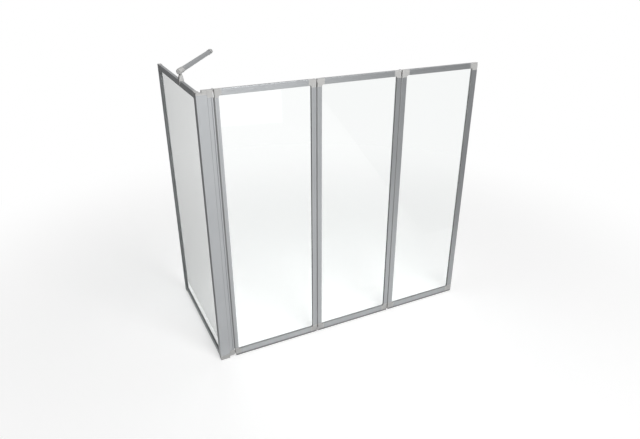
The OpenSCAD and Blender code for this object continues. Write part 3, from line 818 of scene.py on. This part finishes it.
def build_screen():
    """Every piece of the screen: the hard ones, then each leaf's seals and pins, then the side's."""
    drawn = {axis: anodised_aluminium(f"anodised_along_{axis.lower()}", axis) for axis in "XYZ"}
    drawn["bar"] = anodised_aluminium("anodised_along_bar", "X", bar_direction())
    seal = soft_seal()
    steel = stainless_steel()
    dress_hard_pieces(drawn, moulded_plastic(), steel, seal, safety_glass())
    rings = ring_tree()
    strips = strip_tree()
    rows = fastener_tree()
    for leaf in LEAVES:
        window, centre = window_of(leaf, "x", "hinge_stile", "far_stile")
        glazing_gasket(leaf, window, centre, 0.0, seal, rings)
        drip_seal(leaf, seal, strips)
        joint_seal(leaf, seal, strips)
        leaf_pins(leaf, steel, rows)
    window, centre = window_of("side", "y", "front_stile", "wall_stile")
    glazing_gasket("side", window, centre, math.radians(90), seal, rings)
    frame_screws(steel, rows)


# ------------------------------------------------------------------ studio
KEY_POWER = 60
FRONT_POWER = 8
BACK_POWER = 22

SKY_STRENGTH = 0.2
REFLECTED_SKY = 0.65

FLOOR_TONE = 0.5
FLOOR_REACH = 40.0
FLOOR_CENTRE = (0.6, 0.3, -0.5 * MM)
# Distance from the floor's centre at which it starts to fade to white, and at which it is white
FADE_START = 0.9
FADE_END = 2.6
# Light that the floor gives of its own to the camera and to reflections
SEEN_LIFT = 0.62
REFLECTED_LIFT = 0.45

# Height of the cards that lie on the floor, and the tones of all cards
CARD_H = 2 * MM
WHITE_CARD = 1.0
GREY_SIDE = 0.24
GREY_FRONT = 0.2


def maths(tree, operation, first, second):
    """Output of a Math node; each side is a socket or a plain number."""
    node = tree.nodes.new("ShaderNodeMath")
    node.operation = operation
    for side, value in zip(node.inputs, (first, second)):
        if isinstance(value, bpy.types.NodeSocket):
            tree.links.new(value, side)
        else:
            side.default_value = value
    return node.outputs[0]


def seen_directly(tree):
    """The light path, and 1 where the camera meets the background plainly or through the glass."""
    path = tree.nodes.new("ShaderNodeLightPath")
    seen = maths(tree, "MAXIMUM", path.outputs["Is Camera Ray"], path.outputs["Is Transmission Ray"])
    for depth in ("Glossy Depth", "Diffuse Depth"):
        seen = maths(tree, "MULTIPLY", seen, maths(tree, "LESS_THAN", path.outputs[depth], 0.5))
    return path, seen


def faded(tree):
    """0 near the floor's centre and 1 far out."""
    place = tree.nodes.new("ShaderNodeTexCoord")
    distance = tree.nodes.new("ShaderNodeVectorMath")
    distance.operation = "LENGTH"
    tree.links.new(place.outputs["Object"], distance.inputs[0])
    fade = tree.nodes.new("ShaderNodeMapRange")
    fade.interpolation_type = "SMOOTHSTEP"
    fade.inputs["From Min"].default_value = FADE_START
    fade.inputs["From Max"].default_value = FADE_END
    tree.links.new(distance.outputs["Value"], fade.inputs["Value"])
    return fade.outputs["Result"]


def pale_floor():
    """A floor that keeps the screen's shadow near it and fades to plain white further out."""
    reach = FLOOR_REACH
    corners = [(-reach, -reach, 0), (reach, -reach, 0), (reach, reach, 0), (-reach, reach, 0)]
    mesh = bpy.data.meshes.new("floor")
    mesh.from_pydata(corners, [], [(0, 1, 2, 3)])
    floor = new_object("floor", mesh)
    floor.location = FLOOR_CENTRE
    material, tree, shader = new_material("floor")
    shader.inputs["Base Color"].default_value = (FLOOR_TONE, FLOOR_TONE, FLOOR_TONE, 1)
    shader.inputs["Roughness"].default_value = 0.9
    shader.inputs["Specular IOR Level"].default_value = 0.0
    path, direct = seen_directly(tree)
    mirrored = maths(tree, "MULTIPLY", path.outputs["Is Glossy Ray"], REFLECTED_LIFT)
    lift = tree.nodes.new("ShaderNodeEmission")
    lifts = maths(tree, "MAXIMUM", maths(tree, "MULTIPLY", direct, SEEN_LIFT), mirrored)
    tree.links.new(lifts, lift.inputs["Strength"])
    lifted = tree.nodes.new("ShaderNodeAddShader")
    tree.links.new(shader.outputs[0], lifted.inputs[0])
    tree.links.new(lift.outputs[0], lifted.inputs[1])
    white = tree.nodes.new("ShaderNodeEmission")
    mix = tree.nodes.new("ShaderNodeMixShader")
    tree.links.new(maths(tree, "MULTIPLY", faded(tree), direct), mix.inputs[0])
    tree.links.new(lifted.outputs[0], mix.inputs[1])
    tree.links.new(white.outputs[0], mix.inputs[2])
    tree.links.new(mix.outputs[0], tree.nodes["Material Output"].inputs["Surface"])
    mesh.materials.append(material)


def lying(*corners):
    """Corners of a card on the floor, from their (x, y) places."""
    return [(x, y, CARD_H) for x, y in corners]


def upright(start, end, height):
    """Corners of a card that stands on the line from start to end."""
    return [(*start, 0), (*end, 0), (*end, height), (*start, height)]


def studio_card(name, tone, corners):
    """Card that shows in reflections only, for the metal's bright and dark sides."""
    mesh = bpy.data.meshes.new(name)
    mesh.from_pydata(corners, [], [(0, 1, 2, 3)])
    card = new_object(name, mesh)
    material = bpy.data.materials.new(name)
    material.use_nodes = True
    tree = material.node_tree
    glow = tree.nodes.new("ShaderNodeEmission")
    glow.inputs["Color"].default_value = (1, 1, 1, 1)
    glow.inputs["Strength"].default_value = tone
    tree.links.new(glow.outputs[0], tree.nodes["Material Output"].inputs["Surface"])
    mesh.materials.append(material)
    card.visible_camera = False
    card.visible_diffuse = False
    card.visible_transmission = False
    card.visible_shadow = False


def studio_sky():
    """Soft light from all round: white where it is seen, plain in reflections, dim as a lamp."""
    world = bpy.data.worlds.new("studio")
    scene.world = world
    world.use_nodes = True
    tree = world.node_tree
    sky = tree.nodes["Background"]
    sky.inputs["Color"].default_value = (1, 1, 1, 1)
    path, direct = seen_directly(tree)
    brighter = maths(tree, "MULTIPLY", path.outputs["Is Glossy Ray"], REFLECTED_SKY - SKY_STRENGTH)
    tree.links.new(maths(tree, "ADD", brighter, SKY_STRENGTH), sky.inputs["Strength"])
    white = tree.nodes.new("ShaderNodeBackground")
    white.inputs["Color"].default_value = (1, 1, 1, 1)
    mix = tree.nodes.new("ShaderNodeMixShader")
    tree.links.new(direct, mix.inputs[0])
    tree.links.new(sky.outputs[0], mix.inputs[1])
    tree.links.new(white.outputs[0], mix.inputs[2])
    tree.links.new(mix.outputs[0], tree.nodes["World Output"].inputs["Surface"])


def soft_box(name, power, place, target, size):
    """A soft rectangular lamp that neither the camera nor a look through the glass sees."""
    data = bpy.data.lights.new(name, "AREA")
    data.shape = "RECTANGLE"
    data.size, data.size_y = size
    data.energy = power
    lamp = bpy.data.objects.new(name, data)
    scene.collection.objects.link(lamp)
    lamp.location = place
    lamp.rotation_euler = (Vector(target) - Vector(place)).to_track_quat("-Z", "Y").to_euler()
    lamp.visible_camera = False
    lamp.visible_transmission = False
    return lamp


def build_studio():
    """Floor, cards for the reflections, sky and three soft lamps."""
    pale_floor()
    studio_card("grey_side_card", GREY_SIDE, upright((-0.7, -0.1), (-0.7, 6.5), 2.2))
    studio_card("grey_side_floor", GREY_SIDE, lying((-0.7, 0.1), (-0.04, 0.1), (-0.04, 6.5), (-0.7, 6.5)))
    studio_card("floor_card", WHITE_CARD, lying((-2.0, -7.0), (3.4, -7.0), (1.4, -0.22), (-2.0, -0.22)))
    studio_card("foot_card", WHITE_CARD, lying((-0.2, -0.09), (1.3, -0.09), (1.3, -0.01), (-0.2, -0.01)))
    studio_card("grey_floor_card", GREY_FRONT, lying((2.7, -4.5), (7.5, -4.5), (7.5, -0.6), (1.52, -0.6)))
    studio_card("grey_front_card", GREY_FRONT, upright((2.7, -4.5), (7.5, -4.5), 3.5))
    studio_sky()
    soft_box("key", KEY_POWER, place=(0.7, -2.0, 2.9), target=(0.4, 0, 0.8), size=(1.2, 1.2))
    soft_box("front", FRONT_POWER, place=(1.05, -3.6, 0.6), target=(0.3, 0, 0.7), size=(1.4, 1.2))
    back = soft_box("back_fill", BACK_POWER, place=(1.4, 3.4, 2.2), target=(0.6, 0.2, 0.6), size=(1.6, 1.2))
    back.visible_glossy = False


# ------------------------------------------------------------------ the scene
place_camera()
build_screen()
build_studio()
